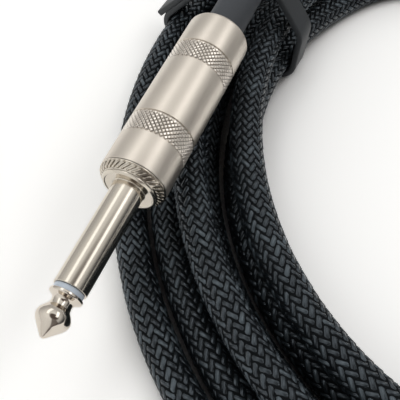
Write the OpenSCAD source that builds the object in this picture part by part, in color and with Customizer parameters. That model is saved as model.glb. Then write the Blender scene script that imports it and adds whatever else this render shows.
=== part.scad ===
// Instrument cable with two straight quarter-inch plugs, coiled and tied.
// Each plug is modelled along its own Z: zero is the front of its collar,
// the finger points down Z and the cable leaves up Z.

/* [Cable] */
// Diameter of the braided cable
cord_d = 7.4; // [6.5:0.1:7.6]
// Diameter of the jacket under the braid
jacket_d = 6; // [5:0.1:6]
// Diameter of the insulated centre wire
core_d = 1.8; // [1.2:0.1:2.2]
// Diameter of the twisted shield wires
shield_d = 1.4; // [1:0.1:1.8]

/* [Coil] */
// Radius of the lower layer's spiral where it would begin
lower_r = 111.9; // [111.5:0.1:114]
// How far each turn of the lower layer steps in
step_in = 8; // [7.9:0.1:8.1]
// How far the lower layer's last turn is tucked in where it meets the tie
tuck_in = 2.4; // [1.6:0.1:2.6]
// Radius of the upper layer's first turn, where it crosses the tie
upper_r = 84.2; // [83:0.2:85]
// How far the second turn of the upper layer steps out
step_out = 12.2; // [11.6:0.1:12.6]
// How much the far side of the coil is drawn in
drawn_in = 54; // [40:1:56]
// Free height between the two layers
layer_gap = 0.6; // [0.5:0.1:1]

/* [Tie strap] */
// Width of the strap
strap_w = 6; // [4:0.5:9]
// Thickness of the strap
strap_t = 1.5; // [1.2:0.1:1.6]
// Free end of the strap past the last cable that it lies on
strap_end = 3; // [1:0.5:8]
// Length of the strap's free end that lies on its loop
strap_lap = 10; // [8:0.5:14]
// Room between the strap and the upper layer's inner turn
strap_slack = 2.5; // [0:0.1:3]

/* [Plug finger] */
// Diameter of the finger, the size that fits a socket
finger_d = 6.35; // [6:0.05:6.5]
// Length of the finger in front of the collar
finger_l = 30.5; // [29:0.5:33]
// Length of the tip contact, up to its insulating ring
tip_l = 8.1; // [7.5:0.1:9]
// Length of the insulating ring
ring_l = 1.05; // [0.8:0.05:1.6]
// Diameter of the insulating ring
ring_d = 5.6; // [5:0.1:6]
// Diameter of the tip contact's rod
rod_d = 2.2; // [1.8:0.1:2.6]
// Diameter of the bore through the sleeve
sleeve_bore_d = 4.5; // [4:0.1:5]

/* [Plug collar] */
// Diameter of the collar's front face
face_d = 11.2; // [10.4:0.1:11.6]
// Length of the collar
collar_l = 2.2; // [1.9:0.1:2.6]
// Length of the smooth lip in front of the teeth
lip_l = 0.5; // [0.3:0.1:0.8]
// Number of slanted teeth round the collar
teeth = 36; // [24:1:40]
// Turn of a tooth round the collar from its front to its back, in degrees
tooth_sweep = 18; // [8:1:24]
// Depth of the teeth
tooth_depth = 0.35; // [0.2:0.05:0.4]
// Diameter of the screw boss behind the collar
boss_d = 10.4; // [10:0.1:10.6]
// Length of the screw boss
boss_l = 5; // [4:0.1:6]

/* [Handle] */
// Diameter of the handle
handle_d = 13.6; // [13.2:0.1:13.8]
// Length of the handle
handle_l = 40.1; // [38:0.1:43]
// Diameter of the handle's bore behind its thread
handle_bore_d = 11.3; // [11:0.1:11.5]
// Thickness of the handle's back wall
back_wall = 1.6; // [1.2:0.1:2.4]
// Radius of the handle's back edge
back_round = 0.8; // [0.6:0.1:1.2]
// Width of each knurled band
knurl_w = 5.1; // [4:0.1:6]
// Start of the front knurled band, from the collar's face
knurl_front = 9.4; // [8:0.1:12]
// Start of the back knurled band, from the collar's face
knurl_back = 29; // [20:0.1:30]
// Diamonds round each knurled band
knurl_around = 40; // [24:1:42]
// Rows of diamonds in each knurled band
knurl_rows = 5; // [3:1:5]
// Depth of the knurling
knurl_depth = 0.35; // [0.2:0.05:0.4]

/* [Inside the handle] */
// Outside diameter of the insulating liner
liner_d = 10.7; // [10.5:0.1:10.8]
// Wall of the insulating liner
liner_wall = 0.55; // [0.4:0.05:0.6]
// Thickness of the lugs and washers
plate_t = 0.6; // [0.4:0.1:0.8]
// Width of the cable clamp's strip
clamp_w = 4; // [3:0.1:4.2]
// Where the clamp's ears start, from the collar's face
clamp_start = 23; // [20:0.5:24]
// Length of the clamp's ears
clamp_l = 5.5; // [4:0.5:6]
// Wall of the heat-shrink tube
shrink_wall = 0.45; // [0.3:0.05:0.5]
// Length of the heat-shrink tube behind the handle
shrink_out = 27; // [24:1:28]

/* [Hidden] */
$fn = 48;

// Clearances: a press or slip fit, a running fit and the free room between bodies.
slip = 0.05;
running = 0.05;
free = 0.3;

// Lengths along a plug, from the collar's face.
sleeve_front = tip_l + ring_l - finger_l;
tip_back = sleeve_front - ring_l;
boss_end = collar_l + boss_l;
handle_front = collar_l + 0.1;
handle_end = handle_front + handle_l;
lug_z = boss_end + plate_t;
rod_end = lug_z + plate_t;
jacket_front = clamp_start - 3;
braid_front = clamp_start + clamp_l + 1;
shrink_end = handle_end + shrink_out;
tip_r = finger_d / 2 - 0.03;

// Where the plugs lie: the middle of each collar's face, then its heading
// from the far side towards the right, and its rise towards the cable.
plug_a_at = [-107.1, -20.6, 21.5];
plug_a_turn = 23.9;
plug_a_rise = 2.5;
plug_b_at = [-34.7, 106.8, 14];
plug_b_turn = 220;
plug_b_rise = 0;

// The coil is wound clockwise: four turns inwards on the floor, then it climbs
// and two turns outwards on top of them, each layer round its own middle.
tie_angle = 153;
lower_mid = [-4.8, -2.2];
upper_mid = [-0.8, -4.2];
rings = 24;
first_ring = 8;
upper_turn = 5;
all_turns = 6;
climb_at = 4.25;
climb_reach = 0.2;
change_at = 4.4;
change_reach = 0.4;
tuck_at = 4.03;
tuck_reach = 0.13;
low_z = 0.4 * cord_d;
high_z = low_z + cord_d + layer_gap;
lift = strap_t + 0.25;
lift_reach = 30;

// Moves the part so that it stands on the middle of its plugs and strap.
stand = [67.74, -40.91, 0];

function unit(v) = v / norm(v);
function smooth(x) = let (c = min(1, max(0, x))) c * c * (3 - 2 * c);

// A plug's cable direction, and a point on its axis.
function heading(turn, rise) =
    [cos(rise) * sin(turn), cos(rise) * cos(turn), sin(rise)];
function on_axis(at, turn, rise, z) = at + z * heading(turn, rise);

// The coil: where its normal points, how far out and how high it is after t
// turns. The far side is drawn in along the normals, so turns stay parallel.
function coil_angle(t) = tie_angle - 360 * t;
function blend(t, at, reach) = smooth((t - at) / reach + 0.5);
function mix(a, b, w) = (1 - w) * a + w * b;
function tucked(t) = abs(t - tuck_at) < tuck_reach
    ? tuck_in * pow(cos(90 * (t - tuck_at) / tuck_reach), 2) : 0;
function spiral(t) = mix(lower_r - step_in * t, upper_r + step_out * (t - upper_turn),
                         blend(t, change_at, change_reach)) - tucked(t);
function middle(t) = mix(lower_mid, upper_mid, blend(t, change_at, change_reach));
function off_tie(t) = 360 * abs(t - round(t));
function lifted(t) = off_tie(t) < lift_reach
    ? lift * pow(cos(90 * off_tie(t) / lift_reach), 2) : 0;
function coil_height(t) = low_z + lifted(t)
    + (high_z - low_z) * blend(t, climb_at, climb_reach);
function coil_point(t) =
    let (a = coil_angle(t), far = (1 + cos(a)) / 2, m = middle(t),
         out = spiral(t) - drawn_in * far * far, along = drawn_in * far * sin(a))
    [m[0] + out * cos(a) - along * sin(a), m[1] + out * sin(a) + along * cos(a),
     coil_height(t)];

coil_turns = [for (i = [first_ring : rings * all_turns]) i / rings];
coil_points = [for (t = coil_turns) coil_point(t)];
coil_floor = [for (t = coil_turns) lifted(t)];

// The free stretches between the plugs and the coil.
lead_a_free = [[-73.5, 55.5, 25.2], [-69, 66.5, 25.2], [-65.2, 77, 25],
               [-62.2, 87, 23.8], [-59.1, 96.5, 20.8], [-54, 106.5, 15.7],
               [-45.5, 114.5, 10.2], [-35, 119, 6], [-23.5, 119.5, 3.7],
               [-12.5, 116, 3], [-3.5, 109.5, 3], [4.5, 100.5, 3], [12.2, 88.5, 3]];
lead_b_free = [[-84.5, 44.2, 13.3], [-82.3, 48.9, 13.8]];
lead_a_points = concat(
    [for (z = [braid_front, handle_end, shrink_end])
        on_axis(plug_a_at, plug_a_turn, plug_a_rise, z)],
    lead_a_free, [coil_points[0]]);
lead_b_points = concat(
    [coil_points[len(coil_points) - 1]], lead_b_free,
    [for (z = [shrink_end, handle_end, braid_front])
        on_axis(plug_b_at, plug_b_turn, plug_b_rise, z)]);

// Tangents along a line; the ends take a given direction where one is named.
function tangents(p, first, last) =
    [for (i = [0 : len(p) - 1])
        i == 0 ? (is_undef(first) ? unit(p[1] - p[0]) : first)
        : i == len(p) - 1 ? (is_undef(last) ? unit(p[i] - p[i - 1]) : last)
        : unit(unit(p[i + 1] - p[i]) + unit(p[i] - p[i - 1]))];
coil_in = unit(coil_points[1] - lead_a_free[len(lead_a_free) - 1]);
coil_out = unit(lead_b_free[0] - coil_points[len(coil_points) - 2]);

// A tube along points, flat wherever it meets the floor under it.
module tube(p, t, d, sides, ground) {
    n = len(p);
    across = [for (v = t) unit(cross(v, [0, 0, 1]))];
    over = [for (i = [0 : n - 1]) cross(across[i], t[i])];
    ring_points = [for (i = [0 : n - 1]) for (j = [0 : sides - 1])
        let (a = 360 * j / sides,
             v = p[i] + d / 2 * (cos(a) * across[i] + sin(a) * over[i]))
        [v[0], v[1], max(v[2], ground[i])]];
    polyhedron(
        points = ring_points,
        faces = concat(
            [[for (j = [0 : sides - 1]) j]],
            [for (i = [0 : n - 2]) for (j = [0 : sides - 1]) for (half = [0, 1])
                let (a = i * sides + j, b = i * sides + (j + 1) % sides)
                half == 0 ? [a, a + sides, b + sides] : [a, b + sides, b]],
            [[for (j = [sides - 1 : -1 : 0]) (n - 1) * sides + j]]));
}

// The least gap between two turns, on the rings and the points between them.
fine_turns = [for (i = [2 * first_ring : 2 * rings * all_turns]) i / (2 * rings)];
fine_points = [for (i = [0 : len(fine_turns) - 1])
    i % 2 == 0 ? coil_points[i / 2]
    : (coil_points[(i - 1) / 2] + coil_points[(i + 1) / 2]) / 2];
least_gap = min([for (i = [0 : len(fine_points) - 1])
    for (j = [i + rings : 1 : len(fine_points) - 1])
    norm(fine_points[i] - fine_points[j])]) - cord_d;
echo(least_gap_between_turns = least_gap);
function length_of(p) = len(p) < 2 ? 0
    : [for (i = 1, s = norm(p[1] - p[0]); i < len(p);
            i = i + 1, s = s + (i < len(p) ? norm(p[i] - p[i - 1]) : 0)) s][len(p) - 2];
echo(coil_length = length_of(coil_points), lead_a_length = length_of(lead_a_points),
     lead_b_length = length_of(lead_b_points));

module at_plug_a() {
    translate(plug_a_at) rotate([plug_a_rise - 90, 0, -plug_a_turn]) children();
}

module at_plug_b() {
    translate(plug_b_at) rotate([plug_b_rise - 90, 0, -plug_b_turn]) children();
}

module hollow(d, bore, z0, z1) {
    translate([0, 0, z0]) difference() {
        cylinder(d = d, h = z1 - z0);
        translate([0, 0, -1]) cylinder(d = bore, h = z1 - z0 + 2);
    }
}

// A straight round wire between two points in the plug's YZ plane.
module wire(a, b, d) {
    v = b - a;
    translate(a) rotate([-atan2(v[1], v[2]), 0, 0]) cylinder(d = d, h = norm(v));
}

// Pointed tip, waist and flange, with the rod that runs back to its lug.
module tip() {
    neck_r = 0.62 * tip_r;
    color("silver") rotate_extrude() polygon([
        [0, -finger_l], [0.45, -finger_l], [0.6 * tip_r, tip_back - 0.83 * tip_l],
        [0.9 * tip_r, tip_back - 0.66 * tip_l], [tip_r, tip_back - 0.58 * tip_l],
        [tip_r, tip_back - 0.52 * tip_l], [0.9 * tip_r, tip_back - 0.42 * tip_l],
        [neck_r + 0.15, tip_back - 0.24 * tip_l], [neck_r, tip_back - 0.2 * tip_l],
        [neck_r + 0.1, tip_back - 0.14 * tip_l], [tip_r - 0.1, tip_back - 0.6],
        [tip_r, tip_back - 0.45], [tip_r, tip_back], [rod_d / 2, tip_back],
        [rod_d / 2, rod_end], [rod_d / 2 + 0.5, rod_end],
        [rod_d / 2 + 0.3, rod_end + 0.6], [0, rod_end + 0.7]]);
}

module front_ring() {
    color("lightsteelblue") hollow(ring_d, rod_d + 2 * slip, tip_back, sleeve_front);
}

module inner_tube() {
    color("ivory") hollow(sleeve_bore_d - 2 * slip, rod_d + 2 * slip,
                          sleeve_front, boss_end);
}

// Sleeve, collar and screw boss, turned from one bar, with slanted teeth on the bevel.
module body() {
    r = finger_d / 2;
    face_r = face_d / 2;
    rim_r = handle_d / 2 - 0.05;
    root_r = face_r - tooth_depth;
    fillet = 0.3;
    teeth_start = lip_l + 0.1;
    teeth_end = collar_l - 0.2;
    spread = (rim_r - 0.06) / face_r;
    color("silver") {
        rotate_extrude() polygon([
            [sleeve_bore_d / 2, sleeve_front], [r - 0.12, sleeve_front],
            [r, sleeve_front + 0.12], [r, -fillet], [r + fillet / 4, -fillet / 4],
            [r + fillet, 0], [face_r - 0.3, 0], [face_r - 0.08, 0.1],
            [face_r, 0.25], [face_r, lip_l], [root_r - 0.12, lip_l + 0.04],
            [spread * root_r - 0.12, teeth_end], [rim_r, teeth_end], [rim_r, collar_l],
            [boss_d / 2, collar_l], [boss_d / 2, boss_end - 0.2],
            [boss_d / 2 - 0.2, boss_end], [sleeve_bore_d / 2, boss_end]]);
        translate([0, 0, teeth_start])
            linear_extrude(teeth_end + 0.05 - teeth_start, twist = -tooth_sweep,
                           scale = spread, slices = 3)
                toothed_ring(face_r, root_r);
    }
}

// Outline of the collar's teeth: flat tops with a V between them.
module toothed_ring(top_r, root_r) {
    pitch = 360 / teeth;
    difference() {
        polygon([for (i = [0 : teeth - 1], k = [[-0.3, top_r], [0.3, top_r], [0.5, root_r]])
            k[1] * [cos((i + k[0]) * pitch), sin((i + k[0]) * pitch)]]);
        circle(r = root_r - 0.3);
    }
}

module rear_washer() {
    color("saddlebrown") hollow(6.4, rod_d + 2 * slip, boss_end, lug_z);
}

// Solder lug on the rod, with its tail turned back along the plug.
module tip_lug() {
    tail_y = 2;
    color("gold") difference() {
        union() {
            translate([0, 0, lug_z]) cylinder(d = 5.2, h = plate_t);
            translate([-1.2, tail_y, lug_z]) cube([2.4, 0.5, 7]);
        }
        translate([0, 0, lug_z - 1]) cylinder(d = rod_d + 2 * slip, h = plate_t + 2);
        translate([0, tail_y - 1, lug_z + 5.2]) rotate([-90, 0, 0])
            cylinder(d = 1.1, h = 3);
    }
}

// Sleeve terminal: a ring on the boss, a strip and the ears that grip the jacket.
module clamp() {
    strip_y = -jacket_d / 2 - 1;
    ear_d = jacket_d + 2 * slip + 2 * plate_t;
    color("silver") {
        hollow(9, 7, boss_end, boss_end + plate_t);
        translate([-clamp_w / 2, strip_y, boss_end])
            cube([clamp_w, plate_t, clamp_start + clamp_l - boss_end]);
        difference() {
            union() {
                hollow(ear_d, jacket_d + 2 * slip, clamp_start, clamp_start + clamp_l);
                translate([-1.2, strip_y, clamp_start])
                    cube([2.4, 1 - slip, clamp_l]);
            }
            translate([-0.6, 0, clamp_start - 1]) cube([1.2, ear_d, clamp_l + 2]);
            translate([-ear_d, 0, clamp_start + clamp_l / 2 - 0.4])
                cube([2 * ear_d, ear_d, 0.8]);
        }
    }
}

module liner() {
    color("gainsboro") hollow(liner_d, liner_d - 2 * liner_wall,
                              boss_end + 1.9, handle_end - back_wall - 0.4);
}

// Round shell with a threaded mouth, a cable hole and two knurled bands.
module handle() {
    r = handle_d / 2;
    root = r - knurl_depth - 0.1;
    thread_end = boss_end + 1.5;
    color("silver") {
        rotate_extrude() polygon(concat(
            [[boss_d / 2 + running, handle_front], [r - 0.15, handle_front],
             [r, handle_front + 0.15]],
            band_notch(knurl_front, r, root), band_notch(knurl_back, r, root),
            [for (a = [0 : 22.5 : 90]) [r - back_round + back_round * cos(a),
                handle_end - back_round + back_round * sin(a)]],
            [[cord_d / 2 + shrink_wall + slip + free, handle_end],
             [cord_d / 2 + shrink_wall + slip + free, handle_end - back_wall],
             [handle_bore_d / 2, handle_end - back_wall],
             [handle_bore_d / 2, thread_end], [boss_d / 2 + running, thread_end]]));
        knurl(knurl_front, r, root - 0.2);
        knurl(knurl_back, r, root - 0.2);
    }
}

function band_notch(z, r, root) =
    [[r, z], [root, z + 0.1], [root, z + knurl_w - 0.1], [r, z + knurl_w]];

// A ring whose outside is a net of raised diamonds.
module knurl(z, r, inner) {
    n = 2 * knurl_around;
    m = 2 * knurl_rows;
    gap = 0.15;
    h = (knurl_w - 2 * gap) / m;
    bottom = r - knurl_depth;
    grid = [for (k = [0 : m]) for (i = [0 : n - 1])
        let (q = (i + k) % 2 == 0 && k > 0 && k < m ? r : bottom,
             a = 360 * i / n)
        [q * cos(a), q * sin(a), z + gap + k * h]];
    bore = [for (k = [0, m]) for (i = [0 : n - 1])
        [inner * cos(360 * i / n), inner * sin(360 * i / n), z + gap + k * h]];
    last = (m + 1) * n;
    polyhedron(
        points = concat(grid, bore),
        faces = concat(
            [for (k = [0 : m - 1]) for (i = [0 : n - 1]) for (half = [0, 1])
                let (a = k * n + i, b = k * n + (i + 1) % n, even = (i + k) % 2 == 0)
                half == 0 ? (even ? [a, a + n, b] : [a, a + n, b + n])
                          : (even ? [b, a + n, b + n] : [a, b + n, b])],
            [for (i = [0 : n - 1]) let (j = (i + 1) % n)
                [last + i, i, j, last + j]],
            [for (i = [0 : n - 1]) let (j = (i + 1) % n)
                [m * n + i, last + n + i, last + n + j, m * n + j]],
            [for (i = [0 : n - 1]) let (j = (i + 1) % n)
                [last + i, last + j, last + n + j, last + n + i]]));
}

module shrink() {
    d = cord_d + 2 * slip;
    color("dimgray") hollow(d + 2 * shrink_wall, d, braid_front, shrink_end);
}

module jacket() {
    color("black") translate([0, 0, jacket_front])
        cylinder(d = jacket_d, h = braid_front - jacket_front);
}

module core() {
    color("white") wire([0, 0.6, jacket_front - 0.1], [0, 0.9, lug_z + 4.5], core_d);
}

module shield() {
    color("peru") wire([0, shield_d / 2 - jacket_d / 2 + 0.2, jacket_front - 0.1],
                       [0, shield_d / 2 - jacket_d / 2 - 0.3, jacket_front - 7], shield_d);
}

module lead_a() {
    color("#1a1e22") tube(lead_a_points, tangents(lead_a_points, last = coil_in),
                          cord_d, 8, [for (p = lead_a_points) 0]);
}

module coil() {
    color("#1a1e22") tube(coil_points, tangents(coil_points, coil_in, coil_out),
                          cord_d, 6, coil_floor);
}

module lead_b() {
    color("#1a1e22") tube(lead_b_points, tangents(lead_b_points, first = coil_out),
                          cord_d, 8, [for (p = lead_b_points) 0]);
}

// What the strap goes round, as [distance from the upper middle, height, size].
out = [cos(tie_angle), sin(tie_angle)];
across_tie = [sin(tie_angle), -cos(tie_angle)];
shrink_cross = let (d = heading(plug_a_turn, plug_a_rise),
                    off = [plug_a_at[0] - upper_mid[0], plug_a_at[1] - upper_mid[1]])
    plug_a_at - d * (off * across_tie) / ([d[0], d[1]] * across_tie);
function from_mid(p) = ([p[0], p[1]] - upper_mid) * out;
bundle = concat(
    [for (t = [1, 4, 5, 6]) [from_mid(coil_point(t)) - (t == 5 ? strap_slack : 0),
                             coil_height(t), cord_d / 2]],
    [[from_mid(shrink_cross), shrink_cross[2], cord_d / 2 + slip + shrink_wall]]);

module bundle_outline(extra, bottom) {
    intersection() {
        hull() for (b = bundle) translate([b[0], b[1]]) circle(r = b[2] + extra, $fn = 32);
        translate([0, bottom]) square(2 * lower_r);
    }
}

// Strap round the bundle, with its free end lying down the outer side.
module tie_strap() {
    outer = bundle[0];
    top = bundle[4];
    lay = atan2(top[1] - outer[1], outer[0] - top[0]);
    color("#3c3e42") translate(upper_mid) rotate([0, 0, tie_angle]) rotate([90, 0, 0])
        translate([0, 0, -strap_w / 2]) linear_extrude(strap_w) {
            difference() {
                bundle_outline(slip + 0.25 + strap_t, 0);
                bundle_outline(slip + 0.25, strap_t);
            }
            translate([outer[0], outer[1]]) rotate(-lay)
                translate([-strap_lap, outer[2] + 0.2 + strap_t])
                    square([strap_lap + strap_end, strap_t]);
        }
}

module placed() {
    translate(stand) children();
}

placed() at_plug_a() tip();  // plug_a_tip
placed() at_plug_a() front_ring();  // plug_a_front_ring
placed() at_plug_a() inner_tube();  // plug_a_inner_tube
placed() at_plug_a() body();  // plug_a_body
placed() at_plug_a() rear_washer();  // plug_a_rear_washer
placed() at_plug_a() tip_lug();  // plug_a_tip_lug
placed() at_plug_a() clamp();  // plug_a_clamp
placed() at_plug_a() liner();  // plug_a_liner
placed() at_plug_a() handle();  // plug_a_handle
placed() at_plug_a() shrink();  // plug_a_shrink
placed() at_plug_a() jacket();  // plug_a_jacket
placed() at_plug_a() core();  // plug_a_core
placed() at_plug_a() shield();  // plug_a_shield
placed() at_plug_b() tip();  // plug_b_tip
placed() at_plug_b() front_ring();  // plug_b_front_ring
placed() at_plug_b() inner_tube();  // plug_b_inner_tube
placed() at_plug_b() body();  // plug_b_body
placed() at_plug_b() rear_washer();  // plug_b_rear_washer
placed() at_plug_b() tip_lug();  // plug_b_tip_lug
placed() at_plug_b() clamp();  // plug_b_clamp
placed() at_plug_b() liner();  // plug_b_liner
placed() at_plug_b() handle();  // plug_b_handle
placed() at_plug_b() shrink();  // plug_b_shrink
placed() at_plug_b() jacket();  // plug_b_jacket
placed() at_plug_b() core();  // plug_b_core
placed() at_plug_b() shield();  // plug_b_shield
placed() lead_a();  // cable_lead_a
placed() coil();  // cable_coil
placed() lead_b();  // cable_lead_b
placed() tie_strap();
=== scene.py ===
"""Dresses a coiled instrument cable: two straight plugs, braided cable and tie strap."""

from __future__ import annotations

import logging
import math
from dataclasses import dataclass, field, replace
from enum import Enum
from functools import cache, reduce
from typing import Sequence

import bmesh
import bpy
from mathutils import Matrix, Vector


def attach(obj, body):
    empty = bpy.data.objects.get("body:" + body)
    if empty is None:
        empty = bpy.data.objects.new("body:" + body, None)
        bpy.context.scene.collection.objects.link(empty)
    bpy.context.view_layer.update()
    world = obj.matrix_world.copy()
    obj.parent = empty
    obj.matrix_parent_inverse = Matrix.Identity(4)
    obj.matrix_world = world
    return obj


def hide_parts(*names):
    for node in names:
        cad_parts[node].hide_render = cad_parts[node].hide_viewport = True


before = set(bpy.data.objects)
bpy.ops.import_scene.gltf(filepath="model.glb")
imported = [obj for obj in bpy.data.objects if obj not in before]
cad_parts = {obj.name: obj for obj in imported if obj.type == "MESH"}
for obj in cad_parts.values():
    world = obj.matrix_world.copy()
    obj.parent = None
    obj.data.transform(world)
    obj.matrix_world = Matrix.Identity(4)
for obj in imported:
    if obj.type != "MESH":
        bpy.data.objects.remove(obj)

LOG = logging.getLogger("instrument_cable")
MM = 0.001
TAU = 2 * math.pi
WHITE = (1.0, 1.0, 1.0, 1.0)
BLACK = (0.0, 0.0, 0.0, 1.0)

Point = tuple[float, float, float]
Colour = tuple[float, float, float, float]
Outline = Sequence[tuple[float, float]]
Material = bpy.types.Material
Node = bpy.types.Node
Piece = bpy.types.Object
Socket = bpy.types.NodeSocket
Tree = bpy.types.NodeTree


def smooth_step(x: float) -> float:
    """A soft rise from 0 to 1 as x goes from 0 to 1."""
    c = min(1.0, max(0.0, x))
    return c * c * (3 - 2 * c)


def mix(a: float, b: float, w: float) -> float:
    """The value a share w of the way from a to b."""
    return (1 - w) * a + w * b


def tinted(colour: Colour, by: float, plus: float = 0.0) -> Colour:
    """A colour with each of its parts times a factor, plus a little."""
    return tuple(min(1.0, c * by + plus) for c in colour[:3]) + (1.0,)


# ---------------------------------------------------------------- node trees


@dataclass
class NodeSheet:
    """A node tree with short calls that add nodes and join them.

    Args:
        tree: the tree that the nodes are added to.
        family: what a node's type name starts with.
    """

    tree: Tree
    family: str = "ShaderNode"

    def node(self, kind: str, inputs: dict | None = None, **settings: object) -> Node:
        """Adds a node.

        Args:
            kind: the node's type, without the family's name in front unless it has another.
            inputs: socket name or number to a value or to another node's socket.
            settings: the node's own properties.

        Returns:
            The new node.
        """
        full = kind if "Node" in kind else self.family + kind
        made = self.tree.nodes.new(full)
        for key, value in settings.items():
            setattr(made, key, value)
        for key, value in (inputs or {}).items():
            if isinstance(value, Socket):
                self.tree.links.new(value, made.inputs[key])
            else:
                made.inputs[key].default_value = value
        return made

    def first(self, kind: str, inputs: dict | None = None, **settings: object) -> Socket:
        """Adds a node as node() does, and returns its first output."""
        return self.node(kind, inputs, **settings).outputs[0]

    def math(self, how: str, a: object, b: object = 0.0, c: object = 0.0) -> Socket:
        """One Math node's result."""
        return self.first("ShaderNodeMath", {0: a, 1: b, 2: c}, operation=how)

    def line(self, value: object, slope: object, start: object = 0.0) -> Socket:
        """A value times a slope, plus a start."""
        return self.math("MULTIPLY_ADD", value, slope, start)

    def less(self, whole: object, part: object) -> Socket:
        """One value less another."""
        return self.math("SUBTRACT", whole, part)

    def edge(self, value: object, power: float) -> Socket:
        """How near a value from -0.5 to 0.5 is to its ends, as a power of its share of the way."""
        return self.math("POWER", self.math("ABSOLUTE", self.product(value, 2.0)), power)

    def total(self, *terms: object) -> Socket:
        """The sum of several values."""
        return reduce(lambda a, b: self.math("ADD", a, b), terms)

    def product(self, *factors: object) -> Socket:
        """The product of several values."""
        return reduce(lambda a, b: self.math("MULTIPLY", a, b), factors)

    def vector(self, x: object, y: object = 0.0, z: object = 0.0) -> Socket:
        """A vector of three values."""
        return self.first("ShaderNodeCombineXYZ", {0: x, 1: y, 2: z})

    def split(self, vector: Socket) -> list[Socket]:
        """A vector's three values."""
        return list(self.node("ShaderNodeSeparateXYZ", {0: vector}).outputs)

    def vmath(self, how: str, a: object, b: object | None = None, scale: object = 1.0) -> Socket:
        """One Vector Math node's result.

        Args:
            how: what it does.
            a: the first vector.
            b: the second vector, if it takes one.
            scale: the factor of a scaling.

        Returns:
            The vector, or the value of a dot product.
        """
        inputs = {0: a} if b is None else {0: a, 1: b}
        if how == "SCALE":
            inputs["Scale"] = scale
        made = self.node("ShaderNodeVectorMath", inputs, operation=how)
        return made.outputs["Value"] if how == "DOT_PRODUCT" else made.outputs[0]

    def noise(self, vector: object, scale: object, detail: float = 2.0) -> Socket:
        """A noise texture's value at a vector."""
        inputs = {"Vector": vector, "Scale": scale, "Detail": detail}
        return self.node("ShaderNodeTexNoise", inputs).outputs["Fac"]

    def ramp(self, value: object, stops: Sequence[tuple[float, Colour]]) -> Socket:
        """A colour ramp's colour for a value.

        Args:
            value: the value.
            stops: each stop's place from 0 to 1 and its colour.

        Returns:
            The colour.
        """
        made = self.node("ShaderNodeValToRGB", {0: value})
        band = made.color_ramp
        while len(band.elements) < len(stops):
            band.elements.new(0.5)
        for element, (place, colour) in zip(band.elements, stops):
            element.position = place
            element.color = colour
        return made.outputs[0]

    def blend(self, share: object, low: object, high: object) -> Socket:
        """The colour a share of the way from one colour to another."""
        inputs = {0: share, 6: low, 7: high}
        return self.node("ShaderNodeMix", inputs, data_type="RGBA").outputs[2]

    def bump(self, height: object, strength: float, distance: float) -> Socket:
        """The normal that a height gives."""
        inputs = {"Height": height, "Strength": strength, "Distance": distance}
        return self.node("ShaderNodeBump", inputs).outputs["Normal"]


def shader_group(
    name: str, inputs: Sequence[tuple[str, str]], outputs: Sequence[tuple[str, str]]
) -> tuple[NodeSheet, Node, Node]:
    """Starts a shader node group with named inputs and outputs.

    Args:
        name: the group's name.
        inputs: name and kind of each input, such as Float or Vector.
        outputs: name and kind of each output.

    Returns:
        The group's sheet, its input node and its output node.
    """
    tree = bpy.data.node_groups.new(name, "ShaderNodeTree")
    for side, sockets in (("INPUT", inputs), ("OUTPUT", outputs)):
        for label, kind in sockets:
            tree.interface.new_socket(label, in_out=side, socket_type="NodeSocket" + kind)
    return NodeSheet(tree), tree.nodes.new("NodeGroupInput"), tree.nodes.new("NodeGroupOutput")


@cache
def surface_grain() -> Tree:
    """The shared group of broad clouds and fine grain that keep a surface from being flat.

    Returns:
        The group: Place, Broad and Fine in; Cloud, Grain and Unevenness out.
    """
    s, into, out = shader_group(
        "surface_grain",
        (("Place", "Vector"), ("Broad", "Float"), ("Fine", "Float")),
        (("Cloud", "Float"), ("Grain", "Float"), ("Unevenness", "Float")),
    )
    place, broad, fine = (into.outputs[n] for n in ("Place", "Broad", "Fine"))
    cloud, grain = s.noise(place, broad, detail=3.0), s.noise(place, fine)
    both = s.total(s.product(cloud, 0.65), s.product(grain, 0.35), -0.5)
    for value, socket in zip((cloud, grain, both), out.inputs):
        s.tree.links.new(value, socket)
    return s.tree


@cache
def painted_hollow_shade() -> Tree:
    """The shared group that paints shade into the bottoms of grooves and gaps, and not on open
    surfaces.

    Returns:
        The group. In: Reach, how far it looks in metres, Depth, how dark it gets, From, how open a
        place has to be to count as open, and Colour. Out: Open, which falls from 1 to 1 less
        Depth in a groove or gap, and Colour, darkened by it as painted shade.
    """
    s, into, out = shader_group(
        "painted_hollow_shade",
        (("Reach", "Float"), ("Depth", "Float"), ("From", "Float"), ("Colour", "Color")),
        (("Open", "Float"), ("Colour", "Color")),
    )
    # Ambient occlusion finds the grooves and gaps, and the colour is darkened there as painted
    # shade.
    seen = s.node("ShaderNodeAmbientOcclusion", {"Distance": into.outputs["Reach"]}, samples=6)
    spread = s.math("MINIMUM", s.math("DIVIDE", seen.outputs["AO"], into.outputs["From"]), 1.0)
    closed = s.less(1.0, s.math("POWER", spread, 2.0))
    open_part = s.less(1.0, s.product(closed, into.outputs["Depth"]))
    tinted = s.vmath("SCALE", into.outputs["Colour"], scale=open_part)
    s.tree.links.new(open_part, out.inputs["Open"])
    s.tree.links.new(tinted, out.inputs["Colour"])
    return s.tree


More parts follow.
